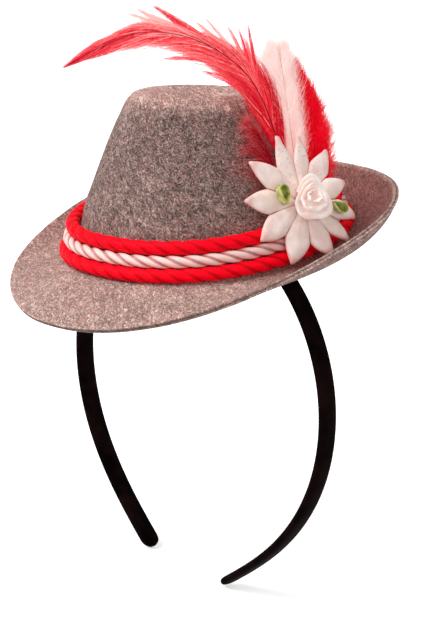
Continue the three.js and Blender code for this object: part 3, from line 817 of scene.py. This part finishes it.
def featherMaterial(name, deep, middle, pale, shine, glow, stem=0.85):
    material, shader, wires = newMaterial(name, {"Specular IOR Level": shine, "Emission Strength": glow})
    tone = attribute(wires["Object"], "barbTone")
    silk = wires["Object"].grain(1.4, detail=2)
    low = (tone * 2).between(0.0, 1.0).blend(linear(*deep), linear(*middle))
    full = (tone * 2 - 1).between(0.0, 1.0).blend(low, linear(*pale))
    look = (silk.between(0.55, 0.8) * 0.25).blend(full, linear(*pale))
    quill = linear(*(stem * step for step in deep))
    look = tone.between(0.0, 0.05).blend(quill, look)  # tone 0 is the quill
    # painted light: the barbs glow a little in their own colour
    feed(shader, colour=look, glow=look, roughness=0.6 - silk * 0.25)
    return material


def featherPiece(name, node, slotName, material, path, groups, quill):
    points, radii, tones = (np.concatenate(parts) for parts in zip(*groups))
    barbs = threadMesh(name, points, radii, np.maximum(tones, 0.06))  # tone 0 is kept for the quill
    above = path + np.array((0, 0, 0.25 + quill))  # the quill lies on top of the barbs
    stem = threadMesh(name + "Quill", *quillThread(above, quill, 24))
    choose(barbs)
    stem.select_set(True)
    bpy.ops.object.join()
    finishPiece(barbs, material, slotName, node)


hackle = {
    "out": -0.9, "bow": 9, "reach": 80.1, "quill": 0.27, "steps": 160, "seed": 11,
    "barbs": (30, 12),  # a barb's length at the root, and how much shorter it is at the tip
    "stations": [  # right, up, reach to the upper and the lower side, tone
        (-2.0, 8.5, 1.4, 1.0, 0.05), (-5.6, 26.6, 6.2, 3.6, 0.12), (-8.1, 37.8, 8.0, 6.6, 0.24),
        (-12.7, 47.8, 8.6, 7.2, 0.40), (-18.0, 53.7, 6.2, 6.8, 0.50), (-25.4, 59.2, 4.4, 6.2, 0.54),
        (-34.0, 63.7, 3.6, 6.2, 0.52), (-42.4, 66.0, 4.2, 5.8, 0.50), (-51.0, 66.9, 4.4, 5.4, 0.38),
        (-58.7, 65.5, 3.4, 4.4, 0.24), (-66.8, 63.2, 2.6, 3.0, 0.10), (-76.2, 59.7, 1.0, 1.0, 0.0),
        (-80.1, 58.0, 0.2, 0.2, 0.02)],
    # how many barbs, points on each and locks; where on the quill the last barb leaves and ends; the
    # shortest barb; how close barbs cling to their lock and lie outward, fill the vane and sweep ahead; how
    # deep, cupped, curled and thick they are; how tones vary in streaks, at the tips and the vane's edge;
    # the share of barbs on the left side
    "style": {"count": 4200, "stations": 6, "locks": 110, "last": 0.97, "end": 1.0, "short": 0.6,
              "cling": 0.6, "outward": 0.8, "fill": (0.2, 1.12), "sweep": 1.5, "depth": 0.4, "cup": 0.012,
              "curl": 0.5, "thick": 0.11, "streaks": 0.4, "paleTips": 0.08, "edge": 0.5, "left": 0.5},
    # a free lock: share of the quill where it leaves, its tip, its tone
    "free": [(0.12, -8.8, 66.0, 0.3), (0.16, -12.8, 65.2, 0.4), (0.21, -17.0, 66.0, 0.75),
             (0.27, -25.4, 69.8, 1.1), (0.29, -29.6, 68.8, 1.0), (0.17, -10.8, 62.0, 0.8),
             (0.42, -44.4, 76.0, 0.35), (0.46, -51.2, 75.6, 1.1), (0.50, -54.6, 74.4, 1.3),
             (0.56, -57.2, 69.4, 1.0), (0.26, -44.2, 56.6, 0.5), (0.18, -30.2, 50.8, 0.45),
             (0.45, -48.0, 73.0, 1.3)],
    # a free lock's barbs: how far apart they leave, how much shorter some are, how loose the tips are
    "freeStyle": {"count": 130, "stations": 6, "seed": 40, "apart": 0.03, "short": 0.6,
                  "loose": (0.25, 4.5), "thick": 0.12, "tones": (0.5, 0.12)},
    # deep, middle and pale colour, shine, strength of the painted glow and how dark the quill is
    "look": ((212, 0, 34), (255, 82, 98), (255, 214, 208), 0.25, 0.16, 0.55)}


def hacklePoint(right, up):
    return np.array((right, up, hackle["out"] - hackle["bow"] * min(right / hackle["reach"], 0) ** 2))


def freeLock(path, share, right, up, tone, seed):
    style, chance = hackle["freeStyle"], np.random.default_rng(seed)
    count = style["count"]
    roots = np.clip(share + chance.normal(0, style["apart"], count), 0, 1)
    start, ahead = quillFrame(path, reachAlong(path), roots)
    full = 1 - style["short"] * chance.uniform(0, 1, count) ** 1.4
    close, wide = style["loose"]
    loose = (close + wide * (1 - full))[:, None] * (1, 1, 0.3)
    tip = hacklePoint(right, up) + chance.normal(0, 1, (count, 3)) * loose
    bend = start + ahead * (np.linalg.norm(tip - start, axis=1) * 0.5)[:, None]
    # each barb is part of a curve that leaves along the quill and bends to the lock's tip
    along = np.linspace(0, 1, style["stations"])[None, :, None]
    q = along * full[:, None, None]
    points = (1 - q) ** 2 * start[:, None] + 2 * q * (1 - q) * bend[:, None] + q ** 2 * tip[:, None]
    radii = style["thick"] * taper(along[..., 0]) * np.ones((count, 1))
    atRoot, vary = style["tones"]
    tones = tone * np.linspace(atRoot, 1, style["stations"]) + chance.normal(0, vary, (count, 1))
    return points, radii, tones


def redHackle():
    knots = np.array([hacklePoint(row[0], row[1]) for row in hackle["stations"]])
    path = smoothLine(knots, hackle["steps"])
    reach = reachAlong(knots)
    atRoot, shorter = hackle["barbs"]
    rows = [(at / reach[-1], lower, upper, atRoot - shorter * at / reach[-1], tone)
            for at, (*_, upper, lower, tone) in zip(reach, hackle["stations"])]
    groups = [sweptBarbs(path, rows, hackle["style"], hackle["seed"])]
    groups += [freeLock(path, *row, hackle["freeStyle"]["seed"] + i) for i, row in enumerate(hackle["free"])]
    material = featherMaterial("red hackle", *hackle["look"])
    featherPiece("featherHackle", "feather_red_long", "red_feather", material, path, groups, hackle["quill"])


redHackle()
print("hackle laid")


plumes = [  # rows: share of the quill, reach to the left and right, a barb's length, tone
    {"name": "plumeWhite", "node": "plume_white", "slot": "white_down", "out": -2.5, "quill": 0.3,
     "seed": 21, "steps": 60, "stem": [(1.8, 8.6), (1.8, 19.6), (2.4, 34.2), (2.8, 54.8)],
     "rows": [(0, 2, 2.5, 14, 0.4), (0.3, 5.5, 7, 15, 0.55), (0.6, 8.4, 8.4, 13, 0.62),
              (0.85, 10.2, 8.2, 10, 0.7), (0.95, 9.2, 7.8, 8, 0.75), (1, 8.0, 7.0, 7, 0.75),
              (1.08, 5.4, 4.8, 6, 0.75)],
     "style": {"count": 6000, "stations": 5, "locks": 110, "last": 1.04, "end": 1.11, "short": 0.3,
               "cling": 0.3, "outward": 1.0, "fill": (0.0, 1.06), "sweep": 1.2, "depth": 1.0, "cup": 0.01,
               "curl": 1.1, "thick": 0.09, "streaks": 0.34, "paleTips": 0.2, "edge": 0, "left": 0.5},
     "look": ((238, 174, 168), (252, 226, 221), (255, 246, 243), 0.2, 0.14)},
    {"name": "plumeRedBack", "node": "plume_red_back", "slot": "red_down", "out": -4.3, "quill": 0.3,
     "seed": 22, "steps": 60, "stem": [(7.6, 6.4), (11.6, 18.9), (12.2, 34.0), (8.4, 50.5)],
     "rows": [(0, 2, 8, 9, 0.2), (0.2, 5, 10.4, 10, 0.3), (0.42, 6, 10.0, 10, 0.32),
              (0.6, 5.4, 7.4, 9, 0.32), (0.8, 4, 5.0, 7, 0.38), (1, 2.5, 2.6, 5, 0.42)],
     "style": {"count": 5200, "stations": 5, "locks": 30, "last": 0.97, "end": 1.05, "short": 0.35,
               "cling": 0.4, "outward": 0.7, "fill": (0.0, 1.1), "sweep": 1.3, "depth": 1.3, "cup": 0.0,
               "curl": 1.2, "thick": 0.12, "streaks": 0.14, "paleTips": 0.3, "edge": 0, "left": 0.5},
     "look": ((214, 0, 28), (255, 6, 46), (255, 130, 140), 0.1, 0.08)},
    {"name": "plumeRedFront", "node": "plume_red_front", "slot": "red_down", "out": -1.2, "quill": 0.3,
     "seed": 23, "steps": 60, "stem": [(-6.8, 5.5), (-8.7, 15.2), (-11.5, 24.6), (-14.5, 31.0)],
     "rows": [(0, 9, 2, 9, 0.2), (0.25, 11, 2.6, 10, 0.2), (0.5, 12, 2.8, 10, 0.3), (0.8, 9, 2.6, 8, 0.4),
              (1, 5, 2.5, 5, 0.6)],
     "style": {"count": 1150, "stations": 6, "locks": 24, "last": 1.0, "end": 1.2, "short": 0.2,
               "cling": 0.2, "outward": 5.0, "fill": (0.0, 1.7), "sweep": 1.2, "depth": 0.7, "cup": 0.0,
               "curl": 1.4, "thick": 0.065, "streaks": 0.3, "paleTips": 0.5, "edge": 0, "left": 0.75},
     "look": ((140, 0, 20), (210, 10, 38), (245, 130, 134), 0.1, 0.04)},
]


def downPlume(plume):
    path = smoothLine([(right, up, plume["out"]) for right, up in plume["stem"]], plume["steps"])
    groups = [sweptBarbs(path, plume["rows"], plume["style"], plume["seed"])]
    material = featherMaterial(f"{plume['node']} down", *plume["look"])
    featherPiece(plume["name"], plume["node"], plume["slot"], material, path, groups, plume["quill"])


for plume in plumes:
    downPlume(plume)
print("plumes fluffed")


# Headband

band = {"width": 8.0, "thickness": 3.3, "seat": 1.6, "halfArc": 194.5, "roundEnd": 4.0,
        "bends": (0.01496, 0.00587, -0.02145), "around": 32, "steps": 260,
        "crowding": 1.4,  # the rows lie closer together at the round ends
        "square": (0.75, 0.85)}  # powers of the section's width and thickness, 1 for an oval


def bandMaterial():
    material, shader, wires = newMaterial("black satin cover", {"Specular IOR Level": 0.006})
    place = wires["Object"]
    weave = place.grain(0.4, detail=2, stretch=(1, 0.4, 1))
    cloud = place.grain(9, detail=3)
    look = cloud.between(0.3, 0.75).blend(linear(8, 4, 4), linear(28, 16, 15))
    feed(shader, colour=look, roughness=0.4 + weave * 0.2)
    bump(shader, weave + cloud * 1.5, 0.08, 0.6)
    return material


def headband():
    half = band["steps"] // 2
    arcs = np.linspace(0, band["halfArc"], half * 4 + 1)
    # each short arc bends a little, and the bends add up to the band's direction
    shares = (arcs[1:] + arcs[:-1]) / 2 / band["halfArc"]
    top, middle, tip = band["bends"]
    bends = (top + middle * shares ** 2 + tip * shares ** 4) * np.diff(arcs)
    angles = np.concatenate([[0], np.cumsum(bends)])
    centres = (angles[1:] + angles[:-1]) / 2
    squareWide, squareThick = band["square"]
    x = np.concatenate([[0], np.cumsum(np.cos(centres) * np.diff(arcs))])
    z = band["seat"] - np.concatenate([[0], np.cumsum(np.sin(centres) * np.diff(arcs))])

    def place(across, along):
        sign, toTip = math.copysign(1, along - 0.5), 1 - abs(2 * along - 1)
        arc = band["halfArc"] * (1 - toTip ** band["crowding"])
        angle = np.interp(arc, arcs, angles)
        fromTip = band["halfArc"] - arc
        end = math.sqrt(max(0, 1 - (1 - min(1, fromTip / band["roundEnd"])) ** 2))
        turn = 2 * math.pi * (across % 1)
        c, s = math.cos(turn), math.sin(turn)
        wide = band["width"] / 2 * math.copysign(abs(c) ** squareWide, c) * end
        thick = band["thickness"] / 2 * math.copysign(abs(s) ** squareThick, s) * math.sqrt(end)
        return Vector((sign * (np.interp(arc, arcs, x) + thick * math.sin(angle)), wide,
                       np.interp(arc, arcs, z) + thick * math.cos(angle))) * mm

    piece = bentGrid("headbandSatin", band["around"], band["steps"], place)
    smooth(piece, 60)
    finishPiece(piece, bandMaterial(), "headband_satin", "headband")


headband()
print("headband covered")


# Floor and soft studio light

studio = {"floor": 6.0, "drop": 0.4, "glow": 0.5, "world": 0.5,
          "lamps": [((-0.5, -0.9, 1.15), 1.1, 26.0), ((1.2, -0.6, 0.5), 1.0, 3.2)]}  # place, size, power


def areaLight(place, size, power):
    bpy.ops.object.light_add(type="AREA", location=place)
    lamp = bpy.context.object
    lamp.data.size, lamp.data.energy = size, power
    lamp.rotation_euler = (-Vector(place)).to_track_quat("-Z", "Y").to_euler()


def addStudio():
    deselectAll()
    low = cadBox[0].z - studio["drop"] * mm
    bpy.ops.mesh.primitive_plane_add(size=studio["floor"], location=(0, 0, low))
    floor = named("floor")
    material, shader, wires = newMaterial("pale floor", {
        "Roughness": 1.0, "Specular IOR Level": 0.0, "Emission Color": (1, 1, 1, 1),
        "Emission Strength": studio["glow"]})
    patches = wires["Object"].grain(400, detail=1)
    feed(shader, colour=patches.blend((0.95, 0.95, 0.95, 1), (0.97, 0.97, 0.97, 1)))
    floor.data.materials.append(material)
    floor.visible_diffuse = False  # the floor's own brightness stays off the hat's walls
    world = bpy.data.worlds.new("studio")
    world.use_nodes = True
    background = world.node_tree.nodes["Background"]
    background.inputs["Color"].default_value = (1, 1, 1, 1)
    background.inputs["Strength"].default_value = studio["world"]
    bpy.context.scene.world = world
    bpy.context.scene.view_settings.view_transform = "Standard"
    for lamp in studio["lamps"]:
        areaLight(*lamp)


addStudio()
print("studio lit")
